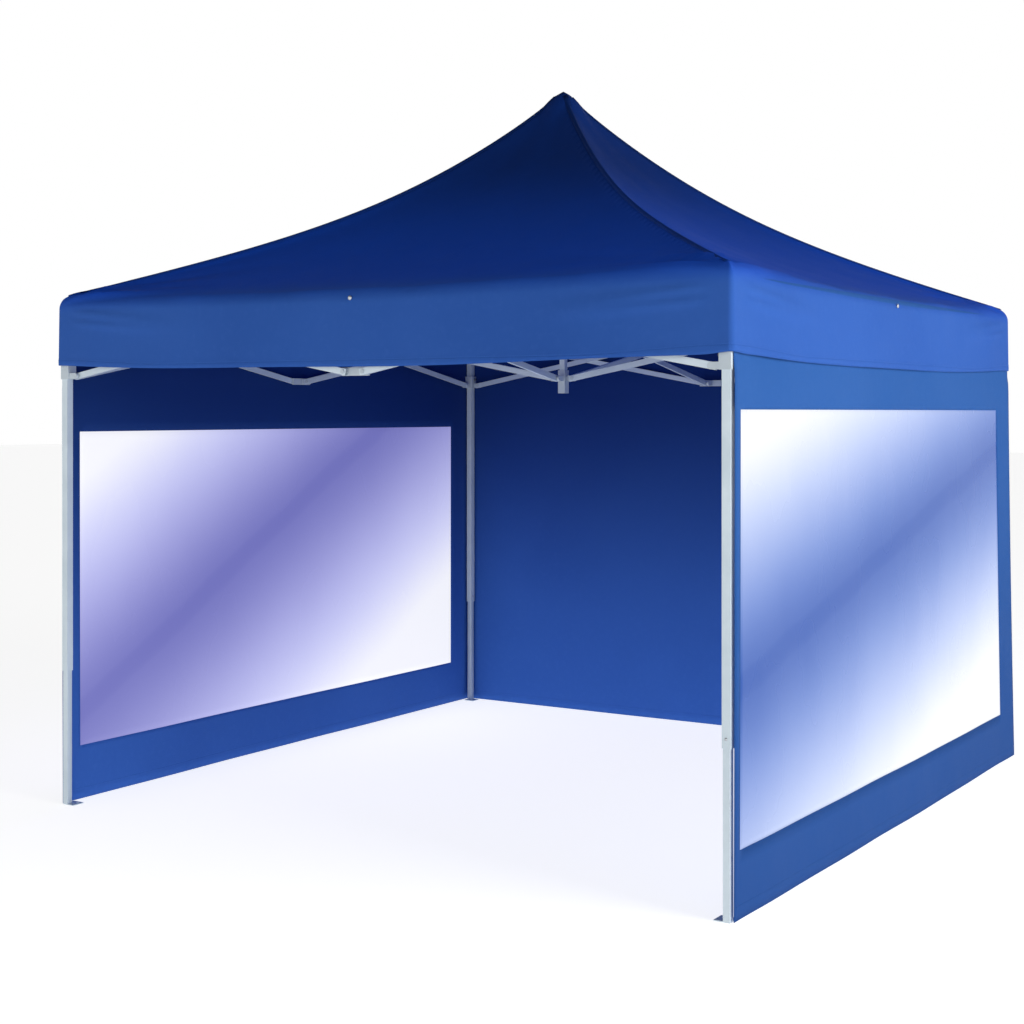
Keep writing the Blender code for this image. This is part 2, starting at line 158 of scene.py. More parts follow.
def hook(obj, body, weights):
    """Points follow a CAD body by their weights, on top of what the piece already does."""
    group = obj.vertex_groups.new(name="to_" + body)
    weights = np.clip(np.asarray(weights, float), 0.0, 1.0)
    for i, w in enumerate(weights):
        if w > 1e-4:
            group.add([i], float(w), "REPLACE")
    step = obj.modifiers.new("to_" + body, "HOOK")
    step.object = bodies[body]
    step.vertex_group = group.name
    step.strength = 1.0
    step.falloff_type = "NONE"
    step.center = (0, 0, 0)
    step.matrix_inverse = Matrix.Identity(4)
    return step


def zigzag(x, folds):
    """A triangle wave from 0 to 1."""
    t = (x * folds) % 1.0
    return 1 - np.abs(2 * t - 1)


# ---- node helpers --------------------------------------------------------------------------------
class Nodes:
    """A material's node tree, written as sums."""

    def __init__(self, name):
        self.material = bpy.data.materials.new(name)
        self.material.use_nodes = True
        self.tree = self.material.node_tree
        self.shader = self.tree.nodes["Principled BSDF"]
        place = self.tree.nodes.new("ShaderNodeTexCoord").outputs["Object"]
        self.place = place
        split = self.tree.nodes.new("ShaderNodeSeparateXYZ")
        self.tree.links.new(place, split.inputs[0])
        self.x, self.y, self.z = split.outputs

    def put(self, socket, value):
        if hasattr(value, "is_output"):
            self.tree.links.new(value, socket)
        else:
            socket.default_value = value

    def math(self, operation, a, b=None):
        node = self.tree.nodes.new("ShaderNodeMath")
        node.operation = operation
        for socket, value in zip(node.inputs, (a, b)):
            if value is not None:
                self.put(socket, value)
        return node.outputs[0]

    def add(self, a, b):
        return self.math("ADD", a, b)

    def sub(self, a, b):
        return self.math("SUBTRACT", a, b)

    def mul(self, a, b):
        return self.math("MULTIPLY", a, b)

    def absolute(self, a):
        return self.math("ABSOLUTE", a)

    def ramp(self, value, low, high):
        """0 below low to 1 above high, smooth between."""
        node = self.tree.nodes.new("ShaderNodeMapRange")
        node.interpolation_type = "SMOOTHSTEP"
        self.put(node.inputs["Value"], value)
        node.inputs["From Min"].default_value = low
        node.inputs["From Max"].default_value = high
        return node.outputs["Result"]

    def line(self, distance, centre, half):
        """1 within half of centre, 0 outside, soft at the edges."""
        off = self.absolute(self.sub(distance, centre))
        return self.sub(1.0, self.ramp(off, half * 0.7, half * 1.3))

    def noise(self, scale, detail=3.0, rough=0.5, stretch=(1, 1, 1)):
        node = self.tree.nodes.new("ShaderNodeTexNoise")
        node.inputs["Scale"].default_value = scale
        node.inputs["Detail"].default_value = detail
        node.inputs["Roughness"].default_value = rough
        move = self.tree.nodes.new("ShaderNodeMapping")
        move.inputs["Scale"].default_value = stretch
        self.tree.links.new(self.place, move.inputs["Vector"])
        self.tree.links.new(move.outputs[0], node.inputs["Vector"])
        return node.outputs["Fac"]

    def mix(self, fac, a, b):
        node = self.tree.nodes.new("ShaderNodeMix")
        node.data_type = "RGBA"
        self.put(node.inputs[0], fac)
        self.put(node.inputs[6], a if hasattr(a, "is_output") else (*a, 1.0))
        self.put(node.inputs[7], b if hasattr(b, "is_output") else (*b, 1.0))
        return node.outputs[2]

    def bump(self, height, distance, strength=1.0):
        node = self.tree.nodes.new("ShaderNodeBump")
        node.inputs["Strength"].default_value = strength
        node.inputs["Distance"].default_value = distance
        self.tree.links.new(height, node.inputs["Height"])
        self.tree.links.new(node.outputs[0], self.shader.inputs["Normal"])

    def set(self, **values):
        for key, value in values.items():
            self.put(self.shader.inputs[key.replace("_", " ")], value)
        return self.material


# ---- materials -----------------------------------------------------------------------------------
def cloth(name, colour, dark, pale, seams=None, pitch=WEAVE_PITCH, shade=()):
    """Coated polyester: a fine weave, soft creases, some fading, and the given seams. Each item of
    shade is painted light and shade laid over the cloth's colour: how much of a tone shows where,
    and that tone."""
    n = Nodes(name)
    broad = n.noise(1.1, 3.0, 0.5)
    soft = n.noise(4.5, 4.0, 0.55, (1, 1, 0.7))
    fine = n.noise(38.0, 3.0, 0.6)
    k = 2 * pi / pitch
    warp = n.math("SINE", n.mul(n.add(n.x, n.y), k))
    weft = n.math("SINE", n.mul(n.z, k))
    weave = n.mul(n.add(warp, weft), 0.5)
    base = n.mix(n.ramp(broad, 0.32, 0.68), dark, colour)
    base = n.mix(n.mul(n.ramp(fine, 0.45, 0.8), 0.22), base, pale)
    base = n.mix(n.mul(n.ramp(weave, 0.2, 1.0), 0.10), base, pale)
    height = n.add(n.mul(soft, 0.9), n.add(n.mul(fine, 0.10), n.mul(weave, 0.035)))
    if seams:
        seam, thread = seams(n)
        base = n.mix(n.mul(seam, 0.35), base, dark)
        base = n.mix(n.mul(thread, 0.65), base, pale)
        height = n.sub(height, n.mul(seam, 0.25))
        height = n.add(height, n.mul(thread, 0.10))
    # painted light and shade: each tone is laid over the cloth's colour by height
    for place, tone in shade:
        base = n.mix(place(n), base, tone)
    rough = n.add(0.62, n.mul(soft, 0.20))
    n.bump(height, 0.010, 0.55)
    return n.set(Base_Color=base, Roughness=rough, Sheen_Weight=0.0, Specular_IOR_Level=0.07)


def dashes(n, along):
    """Stitches and the gaps between them."""
    return n.ramp(n.math("SINE", n.mul(along, 2 * pi / STITCH_PITCH)), -0.25, 0.1)


def roof_seams(n):
    """Panel seams up the hips, the eave seam, the valance hem, each with its stitching."""
    a = n.absolute(n.x)
    b = n.absolute(n.y)
    hip = n.mul(n.absolute(n.sub(a, b)), DIAGONAL)
    far = n.math("MAXIMUM", a, b)
    on_roof = n.sub(1.0, n.ramp(far, HALF - 0.012, HALF - 0.006))
    off_roof = n.sub(1.0, on_roof)
    near = n.math("MINIMUM", a, b)
    drop = n.sub(EAVE_Z - EAVE_SAG, n.z)
    seam = n.mul(n.line(hip, 0.0, 0.0016), on_roof)
    welt = n.mul(n.line(hip, 0.011, 0.0010), on_roof)
    seam = n.math("MAXIMUM", seam, n.mul(welt, 0.5))
    thread = n.mul(n.mul(n.line(hip, 0.008, 0.0010), dashes(n, far)), on_roof)
    hem_z = VALANCE_DROP - 0.022
    wave = n.mul(n.ramp(near, 0.9, HALF), 0.024)
    low = n.add(drop, wave)
    thread2 = n.mul(n.mul(n.line(low, hem_z, 0.0011), dashes(n, near)), off_roof)
    seam2 = n.mul(n.line(low, hem_z + 0.004, 0.0012), off_roof)
    return n.math("MAXIMUM", seam, seam2), n.math("MAXIMUM", thread, thread2)


def wall_seams(n):
    """The hem along a wall's foot, and the stitching up its ends."""
    bottom = n.sub(n.z, WALL_LOW)
    side = n.absolute(n.sub(WALL_IN, n.absolute(n.y)))
    thread = n.mul(n.line(bottom, 0.030, 0.0012), dashes(n, n.add(n.x, n.y)))
    thread2 = n.mul(n.line(side, 0.022, 0.0012), dashes(n, n.z))
    return n.line(bottom, 0.034, 0.0014), n.math("MAXIMUM", thread, thread2)


def upwards(low, high, most):
    """More of a tone the higher up."""
    return lambda n: n.mul(n.ramp(n.z, low, high), most)


def downwards(low, high, most):
    """More of a tone the lower down."""
    return lambda n: n.mul(n.sub(1.0, n.ramp(n.z, low, high)), most)


# painted light on the roof: above the eave it turns a deeper, brighter blue than the valance, then
# painted shade darkens it towards the peak
ROOF = cloth("roof_weave", (0.028, 0.100, 0.390), (0.023, 0.088, 0.360), (0.040, 0.123, 0.440),
             roof_seams,
             shade=((upwards(1.99, 2.10, 1.0), (0.006, 0.062, 0.480)),
                    (upwards(2.08, 2.70, 0.94), (0.002, 0.018, 0.115))))
# painted shade on the walls' outside: darker towards the foot
WALL = cloth("wall_weave", (0.022, 0.094, 0.320), (0.018, 0.086, 0.300), (0.034, 0.120, 0.370),
             wall_seams,
             shade=((downwards(-0.1, 1.7, 0.60), (0.010, 0.044, 0.190)),))
# the walls' inside face: a lighter, lit copy of the wall cloth, with painted shade darker towards
# the top
WALL_INSIDE_SHADED = cloth("wall_inside_painted_shade", (0.042, 0.140, 0.520), (0.036, 0.124, 0.480), (0.056, 0.166, 0.570),
               wall_seams,
               shade=((upwards(-0.2, 2.1, 0.95), (0.004, 0.020, 0.125)),))
# painted shade on the hip tape: darker towards the peak
TAPE = cloth("seam_tape", (0.004, 0.034, 0.220), (0.003, 0.028, 0.190), (0.010, 0.050, 0.270),
             pitch=TAPE_PITCH,
             shade=((upwards(2.20, 2.80, 0.85), (0.001, 0.012, 0.075)),))


def srgb(r, g, b):
    """A screen colour, 0 to 255, as the linear one that nodes take."""
    return tuple(c / 12.92 if c <= 0.04045 else ((c + 0.055) / 1.055) ** 2.4
                 for c in (r / 255, g / 255, b / 255))


def film(name, window, slope, centre, reach, stops, glow):
    """Window film, painted with the light that shows through and off clear vinyl: a broad slanting
    blue band that fades to white. It is opaque and glows with that colour, as painted light. Across
    the window the band lies where v - slope * u = centre, and it fades to the last stop over reach,
    below and above it."""
    n = Nodes(name)
    y0, y1, z0, z1 = window
    u = n.mul(n.sub(n.y, y0), 1.0 / (y1 - y0))
    v = n.mul(n.sub(n.z, z0), 1.0 / (z1 - z0))
    ripple = n.noise(2.6, 3.0, 0.5, (1, 1, 0.6))
    d = n.sub(n.sub(v, n.mul(u, slope)), centre)
    d = n.add(d, n.mul(n.sub(ripple, 0.5), 0.05))
    t = n.math("MAXIMUM", n.mul(d, 1.0 / reach[1]), n.mul(d, -1.0 / reach[0]))
    ramp = n.tree.nodes.new("ShaderNodeValToRGB")
    ramp.color_ramp.interpolation = "B_SPLINE"
    points = ramp.color_ramp.elements
    while len(points) < len(stops):
        points.new(0.5)
    for k, colour in enumerate(stops):
        points[k].position = 0.06 + 0.94 * k / (len(stops) - 1)
        points[k].color = (*srgb(*colour), 1.0)
    n.put(ramp.inputs[0], t)
    colour = ramp.outputs["Color"]
    grain = n.noise(140.0, 2.0)
    n.bump(n.add(ripple, n.mul(grain, 0.02)), 0.006, 0.3)
    # painted light: the film glows with its band's colour, though it is no lamp
    return n.set(Base_Color=n.mix(0.78, colour, (0.0, 0.0, 0.0)),
                 Roughness=n.add(0.20, n.mul(ripple, 0.14)), Emission_Color=colour,
                 Emission_Strength=glow, Specular_IOR_Level=0.14)


def paint(name, colour, dark, rough, metallic=0.0, grain=420.0):
    """Powder coat: fine orange peel, a little dust, rubbed marks."""
    n = Nodes(name)
    peel = n.noise(grain, 2.0, 0.5)
    cloud = n.noise(7.0, 4.0, 0.6)
    marks = n.noise(60.0, 5.0, 0.7, (1, 1, 0.25))
    base = n.mix(n.mul(n.ramp(cloud, 0.35, 0.75), 0.35), colour, dark)
    base = n.mix(n.mul(n.ramp(marks, 0.66, 0.74), 0.45), base, dark)
    n.bump(n.add(n.mul(peel, 0.5), n.mul(marks, 0.3)), 0.0006, 0.5)
    return n.set(Base_Color=base, Roughness=n.add(rough - 0.08, n.mul(cloud, 0.2)),
                 Metallic=metallic)


FRAME = paint("frame_coat", (0.60, 0.69, 0.75), (0.40, 0.49, 0.56), 0.36, 0.15)
MOULD = paint("moulded_grey", (0.50, 0.57, 0.62), (0.34, 0.40, 0.45), 0.52, 0.0, 900.0)
KNOB = paint("moulded_dark", (0.10, 0.11, 0.125), (0.05, 0.055, 0.06), 0.5, 0.0, 900.0)
STEEL = paint("rivet_steel", (0.52, 0.55, 0.58), (0.30, 0.32, 0.34), 0.28, 0.9)


# ---- roof and valance: one sewn sheet ------------------------------------------------------------
def roof_height(x, y):
    """Height of the cloth over a point, with folds that run out of the corners."""
    ax, ay = np.abs(x), np.abs(y)
    far = np.minimum(np.maximum(ax, ay) / HALF, 1.0)
    near = np.minimum(ax, ay) / HALF
    across = np.where(far > 1e-9, near / np.maximum(far, 1e-9), 1.0)
    hip = EAVE_Z + PEAK_RISE * (0.62 * (1 - far) + 0.38 * (1 - far) ** 3.5)
    hang = EAVE_SAG * far ** 2 + PANEL_SAG * np.sin(pi * far)
    z = hip - hang * (1 - across ** 2)
    # soft round tip over the mast cap
    tip = TIP_Z - TIP_CURVE * (x ** 2 + y ** 2)
    z = 0.5 * (z + tip + np.sqrt((z - tip) ** 2 + TIP_BLEND ** 2)) - 0.5 * TIP_BLEND
    # folds fanning out of each corner, and long ones along the eave
    fold = np.zeros_like(z)
    for sx in (-1, 1):
        for sy in (-1, 1):
            dx = HALF - sx * x
            dy = HALF - sy * y
            r = np.hypot(dx, dy)
            phi = np.arctan2(dy, dx)
            seed = 0.9 * sx + 1.7 * sy
            off_hip = 1 - np.exp(-np.abs(phi - pi / 4) / 0.10)
            low = np.exp(-(r / 0.75) ** 2) * smoothstep(r / 0.10) * off_hip
            fold += low * (0.0045 * np.sin(phi * 15 + seed)
                           + 0.0025 * np.sin(phi * 27 + 2 * seed + 4 * r))
    edge = HALF * (1 - far)
    side = np.where(ay > ax, np.sign(y) * 1.3, np.sign(x) * 2.1 + 5.0)
    run = np.where(ay > ax, x, y)
    along = np.exp(-(edge / 0.16) ** 2) * smoothstep(edge / 0.02)
    fold += along * 0.0016 * (np.sin(run * 9 + side * 3)
                              + 0.6 * np.sin(run * 21 + edge * 30 + side))
    # tension lines from the peak
    ring = np.exp(-((far - 0.18) / 0.16) ** 2)
    fold += ring * 0.004 * np.cos(8 * np.arctan2(y, x)) * smoothstep(far / 0.05)
    return z + fold


def round_plan(x, y):
    """Moves points near the plan's corners on to a small radius."""
    c = HALF - CORNER_R
    dx = np.abs(x) - c
    dy = np.abs(y) - c
    near = (dx > 0) & (dy > 0)
    length = np.hypot(dx, dy)
    k = np.where(near, np.maximum(dx, dy) / np.maximum(length, 1e-9), 1.0)
    nx = np.where(near, np.sign(x) * (c + dx * k), x)
    ny = np.where(near, np.sign(y) * (c + dy * k), y)
    return nx, ny


def pulls(along, across, starts, slants, height):
    """Long soft creases that leave each corner along the eave. along is measured from the corner,
    across from the eave, and each crease starts at its own distance from the eave."""
    lift = 0.0
    for start, slant in zip(starts, slants):
        width = 0.010 + 0.020 * np.clip(along / 0.9, 0, 1)
        crest = start + slant * along
        reach = smoothstep((along - 0.06) / 0.12) * (1 - smoothstep((along - 0.30) / 0.50))
        lift = lift + height * reach * np.exp(-((across - crest) / width) ** 2)
    return lift


def hip_groove(x, y):
    """The panel's edge dips beside each hip seam, where the cloth is drawn over the frame."""
    off_hip = np.abs(np.abs(x) - np.abs(y)) / np.sqrt(2)
    far = np.maximum(np.abs(x), np.abs(y)) / HALF
    drawn = smoothstep((far - 0.10) / 0.2) * (1 - smoothstep((far - 0.80) / 0.18))
    return GROOVE_DEEP * drawn * (off_hip / GROOVE_OUT) * np.exp(1 - off_hip / GROOVE_OUT)


def make_roof():
    """The roof as a grid that gets finer towards the eave, with the valance hung on its edge."""
    inner = np.linspace(0, HALF - EDGE_BAND, 50)
    rim = HALF - np.array([0.048, 0.041, 0.033, 0.026, 0.0195, 0.014,
                           0.0092, 0.0055, 0.0026, 0.0009, 0.0])
    half = np.concatenate([inner, rim])
    line = np.concatenate([-half[:0:-1], half])
    n = len(line)
    x, y = np.meshgrid(line, line, indexing="ij")
    x, y = x.ravel(), y.ravel()
    edge = HALF - np.maximum(np.abs(x), np.abs(y))
    lip = np.clip(1 - edge / EAVE_R, 0, 1)
    z = roof_height(x, y) - EAVE_R * (1 - np.sqrt(np.maximum(1 - lip ** 2, 0)))
    along = HALF - np.minimum(np.abs(x), np.abs(y))
    z += pulls(along, edge, (0.030, 0.085), (0.10, 0.20), 0.009) * smoothstep(edge / 0.02)
    z -= hip_groove(x, y)
    px, py = round_plan(x, y)
    verts = [np.stack([px, py, z], -1)]
    faces = [grid_faces(n, n)]
    # the boundary, counter-clockwise from the front left corner
    index = np.arange(n * n).reshape(n, n)
    ring = np.concatenate([index[:-1, 0], index[-1, :-1], index[:0:-1, -1], index[0, :0:-1]])
    rx, ry, rz = verts[0][ring].T
    around = np.arange(len(ring))
    sx, sy = x[ring], y[ring]
    out_x = np.where(np.abs(sx) >= HALF - 1e-6, np.sign(sx), 0.0)
    out_y = np.where(np.abs(sy) >= HALF - 1e-6, np.sign(sy), 0.0)
    norm = np.maximum(np.hypot(out_x, out_y), 1.0)
    run = np.where(np.abs(out_y) > 0, sx, sy)
    side = 1.7 * out_x + 3.1 * out_y
    calm = smoothstep((HALF - np.abs(run)) / 0.22)
    last = ring
    start = n * n
    for row in range(1, VALANCE_ROWS + 1):
        t = row / VALANCE_ROWS
        wave = (0.0022 * (1 + np.sin(run * 5.1 + side))
                + 0.0012 * (1 + np.sin(run * 13.7 + 2 * side + 2 * t)))
        out = 0.003 * t + calm * wave * t ** 0.8 + 0.0015 * np.exp(-((t - 0.93) / 0.03) ** 2)
        drop = EAVE_R + (VALANCE_DROP - EAVE_R) * t
        out = out + pulls(HALF - np.abs(run), drop, (0.050, 0.095), (0.075, 0.045), 0.0075)
        hem = 0.002 * calm * np.sin(run * 4.3 + side) * t ** 3
        row_verts = np.stack([rx + out_x / norm * out, ry + out_y / norm * out,
                              rz - (VALANCE_DROP - EAVE_R) * t + hem], -1)
        verts.append(row_verts)
        this = start + around
        nxt = np.roll(np.arange(len(ring)), -1)
        faces.append(np.stack([last, this, this[nxt], last[nxt]], -1))
        last = this
        start += len(ring)
    roof = new_object("roof_sheet", np.concatenate(verts), np.concatenate(faces), ROOF)
    bm = bmesh.new()
    bm.from_mesh(roof.data)
    # the cells that straddle a hip are split along it, so that the cloth keeps a clean ridge
    on_hip = np.abs(np.abs(x) - np.abs(y)) < 1e-9
    for face in list(bm.faces):
        ridge = [v for v in face.verts if v.index < len(on_hip) and on_hip[v.index]]
        if len(ridge) == 2 and not any(ridge[1] in e.verts for e in ridge[0].link_edges):
            bmesh.utils.face_split(face, *ridge)
    bmesh.ops.recalc_face_normals(bm, faces=bm.faces)
    top = max(bm.faces, key=lambda f: f.calc_center_median().z)
    if top.normal.z < 0:
        bmesh.ops.reverse_faces(bm, faces=bm.faces)
    bm.to_mesh(roof.data)
    bm.free()
    roof.data.shade_smooth()
    return roof


def points_of(obj):
    flat = np.empty(len(obj.data.vertices) * 3)
    obj.data.vertices.foreach_get("co", flat)
    return flat.reshape(-1, 3)


def gather_roof(obj):
    """The roof draws in with the four legs as the frame folds, in pleats."""
    p = points_of(obj)
    x, y = p[:, 0], p[:, 1]
    angle = np.arctan2(y, x) / (2 * pi)
    far = np.maximum(np.abs(x), np.abs(y)) / HALF
    proud = PROUD_FOLDED * smoothstep((far - 0.75) / 0.25)
    pleat = 1 - proud - ROOF_PLEAT * zigzag(angle, 36) * smoothstep(far / 0.5)
    for corner, (sx, sy) in CORNER_SIGNS.items():
        w = (1 + sx * x / FOLD_SPAN) * (1 + sy * y / FOLD_SPAN) / 4
        hook(obj, "outer_leg_" + corner, w * pleat)


def ride_roof(obj):
    """Cloth that draws in with the legs."""
    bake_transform(obj)
    gather_roof(obj)


roof = make_roof()
roof_tapes = []
for name, (sx, sy) in CORNER_SIGNS.items():
    s = np.linspace(0.03, HALF - 0.030, 90)
    across = np.linspace(-TAPE_HALF, TAPE_HALF, 5)
    S, C = np.meshgrid(s, across, indexing="ij")
    tx = sx * S + C * DIAGONAL * sx
    ty = sy * S - C * DIAGONAL * sy
    crown = TAPE_CROWN * (1 - (C / TAPE_HALF) ** 2)
    tz = roof_height(tx, ty) - hip_groove(tx, ty) + TAPE_LIFT + crown
    pts = np.stack([tx, ty, tz], -1).reshape(-1, 3)
    faces = grid_faces(len(s), len(across))
    tape = new_object("hip_tape_" + name, pts, faces, TAPE)
    roof_tapes.append(tape)
for tape in roof_tapes:
    ride_roof(tape)
    thicken(tape, TAPE_SHEET, 0.0)
    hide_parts("canopy")
ride_roof(roof)
thicken(roof, ROOF_SHEET, -1.0)
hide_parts("canopy")


# ---- walls and windows ---------------------------------------------------------------------------
def opening(node):
    """A window's low and high along Y, then along Z."""
    low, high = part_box(node)
    return low[1], high[1], low[2], high[2]


LEFT_WINDOW = opening("window_left")
RIGHT_WINDOW = opening("window_right")


def wall_bulge(u, z, side):
    """How far a wall stands out from its plane: slack between the legs and a kicked hem."""
    down = np.clip((WALL_TOP - z) / (WALL_TOP - WALL_LOW), 0, 1)
    under = 0.005 * smoothstep((VALANCE_LOW - 0.004 - z) / 0.05)
    folds = 0.0022 * (np.sin(u * 3.9 + side) + 0.5 * np.sin(u * 9.1 + 3 * side + z * 1.5))
    calm = smoothstep(np.minimum(u + 1.48, 1.48 - u) / 0.25)
    return under + folds * calm * down ** 0.7 + 0.006 * down ** 2


def wall_point(side, u, z, lift=0.0):
    """Points of a wall. side: 0 right, 1 back, 2 left. u runs along X on the back wall and along
    Y on the others."""
    out = WALL_IN + SHEET + lift + wall_bulge(u, z, side) * (z < WALL_TOP)
    down = np.clip((WALL_TOP - z) / (WALL_TOP - WALL_LOW), 0, 1)
    if side == 1:
        spread = 0.010 * down ** 2
        return np.stack([u * (1 + spread / 1.5), out, z], -1)
    kick = FLARE * down ** 1.3 * smoothstep((u + 0.2) / 1.7) ** 2 if side == 0 else 0.0
    y = u + kick + 0.010 * down ** 2 * (u > 1.0) * smoothstep((u - 1.0) / 0.48)
    out = out - 0.010 * down ** 2 * (1 - smoothstep((u + 1.4) / 1.0))
    return np.stack([out if side == 0 else -out, y, z], -1)


def make_wall(name, side, window):
    """A sheet with the window's opening left out, fine enough to hang and fold."""
    if side == 1:
        u_low, u_high = -WALL_OUT + 0.001, WALL_OUT - 0.001
    else:
        u_low, u_high = -LEG_AXIS - WALL_END, WALL_IN - 0.002
    us = np.linspace(u_low, u_high, 121)
    zs = np.linspace(0.002, WALL_TOP, 61)
    if window:
        us = snap(us, window[:2])
        zs = snap(zs, window[2:])
    Z, U = np.meshgrid(zs, us, indexing="ij")
    pts = wall_point(side, U.ravel(), Z.ravel())
    faces = grid_faces(len(zs), len(us))
    if window:
        centre_u = U.ravel()[faces].mean(1)
        centre_z = Z.ravel()[faces].mean(1)
        inside = ((centre_u > window[0]) & (centre_u < window[1])
                  & (centre_z > window[2]) & (centre_z < window[3]))
        faces = faces[~inside]
    wall = new_object(name, pts, faces, WALL)
    # second material: the inside face, a lit copy of the wall cloth with painted shade towards the
    # top
    wall.data.materials.append(WALL_INSIDE_SHADED)
    outward = Vector(((1, 0, 0), (0, 1, 0), (-1, 0, 0))[side])
    if wall.data.polygons[0].normal.dot(outward) < 0:
        wall.data.flip_normals()
    drop_loose(wall)
    return wall


def snap(values, targets):
    """The same line of values with the nearest one moved to each target."""
    values = values.copy()
    for target in targets:
        values[np.argmin(np.abs(values - target))] = target
    return values


def drop_loose(obj):
    bm = bmesh.new()
    bm.from_mesh(obj.data)
    bmesh.ops.delete(bm, geom=[v for v in bm.verts if not v.link_faces], context="VERTS")
    bm.to_mesh(obj.data)
    bm.free()
    obj.data.shade_smooth()


def gather_wall(obj, side):
    """A wall draws in along its width with the legs at its ends, in pleats that stand outwards."""
    p = points_of(obj)
    u = p[:, 0] if side == 1 else p[:, 1]
    down = np.clip((WALL_TOP - p[:, 2]) / WALL_TOP, 0, 1)
    ends = (("fr", "br"), ("bl", "br"), ("fl", "bl"))[side]
    span = FOLD_SPAN + 0.08 if side == 1 else WALL_OUT
    # a side wall's pleats die out before the back wall
    free = 1.0 if side == 1 else 1 - smoothstep((u - 1.10) / 0.30)
    wobble = 1 - 0.02 * free * zigzag(u / 3.0 + 0.5, 11) * (0.4 + 0.6 * down)
    t = np.clip(u / span, -1, 1)
    hook(obj, "outer_leg_" + ends[0], (1 - t) / 2 * wobble)
    hook(obj, "outer_leg_" + ends[1], (1 + t) / 2 * wobble)
    hook(obj, "upper_frame", WALL_PLEAT * free * zigzag(u / 3.0 + 0.5, 22))


for side, place in enumerate(WALLED):
    name = "wall_" + place
    window = (RIGHT_WINDOW, None, LEFT_WINDOW)[side]
    wall = make_wall(name + "_sheet", side, window)
    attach(wall, "top_joint_" + place)
    gather_wall(wall, side)
    thicken(wall, SHEET, -1.0).material_offset = 1
    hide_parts(name)
    width = 2 * WALL_OUT if side == 1 else WALL_IN + LEG_AXIS + WALL_END
    high = WALL_TOP - WALL_LOW
    area = width * high
    if window:
        area -= (window[1] - window[0]) * (window[3] - window[2])


# painted light on the window films: colour stops from the blue band to white, and each film's glow
LEFT_FILM = film("film_left", LEFT_WINDOW, 1.2, 0.10, (0.93, 0.76),
                 ((117, 118, 189), (150, 150, 212), (184, 185, 236), (216, 218, 253),
                  (255, 255, 255)), 0.86)
RIGHT_FILM = film("film_right", RIGHT_WINDOW, 0.5, 0.37, (0.66, 0.54),
                  ((58, 98, 184), (112, 142, 214), (166, 185, 238), (212, 224, 253),
                   (255, 255, 255)), 0.68)
for side, window, look in ((0, RIGHT_WINDOW, RIGHT_FILM), (2, LEFT_WINDOW, LEFT_FILM)):
    name = "window_" + WALLED[side]
    us = np.linspace(window[0] - FILM_LAP, window[1] + FILM_LAP, 91)
    zs = np.linspace(window[2] - FILM_LAP, window[3] + FILM_LAP, 47)
    Z, U = np.meshgrid(zs, us, indexing="ij")
    pane = new_object(name + "_film", wall_point(side, U.ravel(), Z.ravel(), -FILM_INSET),
                      grid_faces(len(zs), len(us)), look)
    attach(pane, "top_joint_" + WALLED[side])
    gather_wall(pane, side)
    thicken(pane, FILM_SHEET, 0.0)
    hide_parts(name)


# ---- hard pieces: the CAD's own shapes with worked edges -----------------------------------------
def body_with(node):
    for body, nodes in frame["record"]["behaviour"]["bodies"].items():
        if node in nodes:
            return body
    return None


def node_object(node):
    found = frame["nodes"][node]
    return found[0] if isinstance(found, (list, tuple)) else found


def worked(node, look, edge):
    """A copy of a CAD node with its edges rounded, which shows in the node's place."""
    source = node_object(node)
    made = bpy.data.objects.new(node + "_made", source.data.copy())
    bpy.context.scene.collection.objects.link(made)
    made.data.materials.clear()
    made.data.materials.append(look)
    bm = bmesh.new()
    bm.from_mesh(made.data)
    bmesh.ops.remove_doubles(bm, verts=bm.verts, dist=1e-6)
    bmesh.ops.dissolve_limit(bm, angle_limit=radians(1.0), verts=bm.verts, edges=bm.edges)
    bm.to_mesh(made.data)
    bm.free()
    step = made.modifiers.new("edges", "BEVEL")
    step.width = edge
    step.segments = 2
    step.limit_method = "ANGLE"
    step.angle_limit = radians(40)
    step.use_clamp_overlap = True
    made.data.shade_smooth()
    made.data.set_sharp_from_angle(angle=radians(50))
    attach(made, body_with(node))
    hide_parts(node)
    return made


for record_slot in frame["record"]["subparts"]:
    node, slot = record_slot["node"], record_slot["material_slot"]
    if slot == "frame_paint":
        edge = 0.0018 if "leg" in node or "mast" in node else 0.0010
        worked(node, FRAME, edge)
    elif slot == "joint_plastic":
        worked(node, MOULD, 0.0008)
    elif slot == "latch_plastic":
        worked(node, KNOB, 0.0012)


def dome(name, at, normal, radius, height, look, body):
    """A low round head, as on a button or a rivet."""
    rings = 6
    seg = 20
    turn = Vector((0, 0, 1)).rotation_difference(Vector(normal)).to_matrix()
    verts = []
    for i in range(rings):
        a = i / rings * pi / 2
        for j in range(seg):
            b = 2 * pi * j / seg
            p = Vector((radius * np.cos(a) * np.cos(b), radius * np.cos(a) * np.sin(b),
                        height * np.sin(a)))
            verts.append(turn @ p + Vector(at))
    verts.append(turn @ Vector((0, 0, height)) + Vector(at))
    verts.append(Vector(at) - turn @ Vector((0, 0, 0.0005)))
    faces = []
    for i in range(rings - 1):
        for j in range(seg):
            k = (j + 1) % seg
            faces.append((i * seg + j, i * seg + k, (i + 1) * seg + k, (i + 1) * seg + j))
    for j in range(seg):
        k = (j + 1) % seg
        faces.append(((rings - 1) * seg + j, (rings - 1) * seg + k, rings * seg))
        faces.append((k, j, rings * seg + 1))
    made = new_object(name, verts, faces, look)
    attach(made, body)
    return made


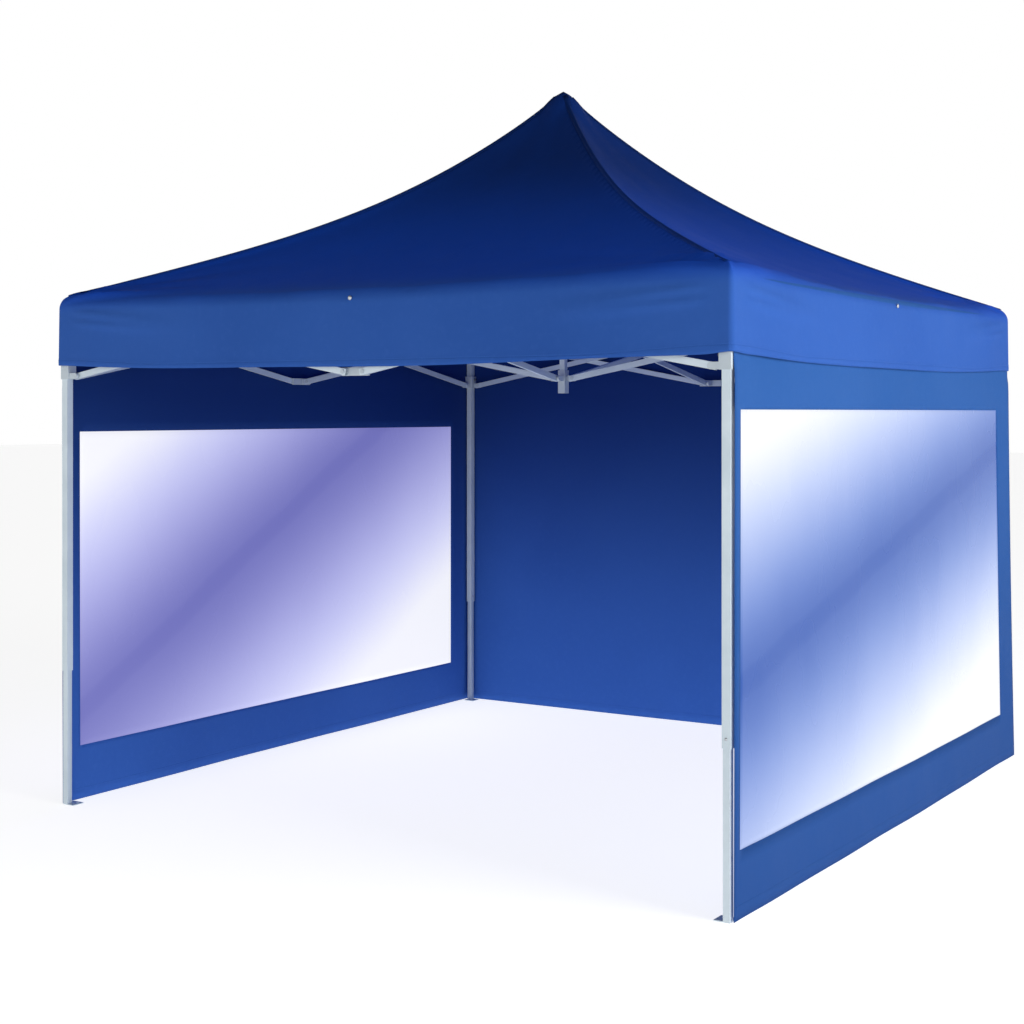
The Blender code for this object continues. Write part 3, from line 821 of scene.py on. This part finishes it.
# two snap buttons near the foot of each outer leg, named for the front right leg: on its front
# face, and on the face towards the left
BUTTON_Z = 0.575
for k, corner in enumerate(CORNERS):
    turn = Matrix.Rotation(k * pi / 2, 3, "Z")
    for i, normal in enumerate(((0, -1, 0), (-1, 0, 0))):
        offset = Vector(normal) * 0.0149
        at = turn @ (Vector((LEG_AXIS, -LEG_AXIS, BUTTON_Z)) + offset)
        dome(f"snap_button_{corner}_{i}", at, turn @ Vector(normal), 0.0055, 0.0035, STEEL,
             "outer_leg_" + corner)

# eyelets at the middle of each side, just under the eave
for k, side in enumerate(SIDES):
    turn = Matrix.Rotation(k * pi / 2, 3, "Z")
    at = turn @ Vector((0.0, -HALF - 0.0005, EAVE_Z - EAVE_SAG - 0.030))
    eyelet = dome("eyelet_" + side, at, turn @ Vector((0, -1, 0)), 0.0085, 0.004, STEEL,
                  "upper_frame")
    gather_roof(eyelet)


# ---- stage, light and camera ---------------------------------------------------------------------
def stage():
    size = 60.0
    corners = [(-size, -size, 0), (size, -size, 0), (size, size, 0), (-size, size, 0)]
    floor = new_object("floor", corners, [(0, 1, 2, 3)], plain("floor_pale", (0.55, 0.55, 0.55)))
    world = bpy.data.worlds.new("studio")
    bpy.context.scene.world = world
    world.use_nodes = True
    background = world.node_tree.nodes["Background"]
    links = world.node_tree.links
    split = world.node_tree.nodes.new("ShaderNodeSeparateXYZ")
    direction = world.node_tree.nodes.new("ShaderNodeTexCoord").outputs["Generated"]
    links.new(direction, split.inputs[0])
    fade = world.node_tree.nodes.new("ShaderNodeMapRange")
    fade.interpolation_type = "SMOOTHSTEP"
    fade.inputs["From Min"].default_value = 0.26
    fade.inputs["From Max"].default_value = 0.50
    fade.inputs["To Min"].default_value = 1.0
    fade.inputs["To Max"].default_value = 0.05
    links.new(split.outputs["Z"], fade.inputs["Value"])
    links.new(fade.outputs["Result"], background.inputs["Strength"])
    background.inputs["Color"].default_value = (1.0, 1.0, 1.0, 1.0)
    bpy.context.scene.view_settings.view_transform = "Standard"


def plain(name, colour):
    n = Nodes(name)
    fine = n.noise(3.0, 2.0)
    return n.set(Base_Color=n.mix(n.mul(fine, 0.04), colour, (1, 1, 1)), Roughness=0.9,
                 Emission_Color=(1.0, 1.0, 1.0, 1.0), Emission_Strength=0.80)


def area_light(name, at, to, size, power):
    data = bpy.data.lights.new(name, "AREA")
    data.shape = "RECTANGLE"
    data.size = size[0]
    data.size_y = size[1]
    data.energy = power
    made = bpy.data.objects.new(name, data)
    bpy.context.scene.collection.objects.link(made)
    made.location = at
    made.rotation_euler = (Vector(to) - Vector(at)).to_track_quat("-Z", "Y").to_euler()


stage()
area_light("key", (9.0, -1.0, 3.4), (0, 0, 1.3), (5, 4), 560)
area_light("fill", (-1.0, -9.0, 2.2), (0, 0, 1.0), (6, 4), 60)

lens = bpy.data.cameras.new("camera")
lens.lens = 58.92
lens.sensor_width = 36
lens.shift_y = -0.0977
lens.clip_end = 200
camera = bpy.data.objects.new("camera", lens)
camera.location = (3.721, -6.271, 1.599)
camera.rotation_euler = (radians(90), 0, radians(32.44))
bpy.context.scene.collection.objects.link(camera)
bpy.context.scene.camera = camera

bpy.context.view_layer.update()
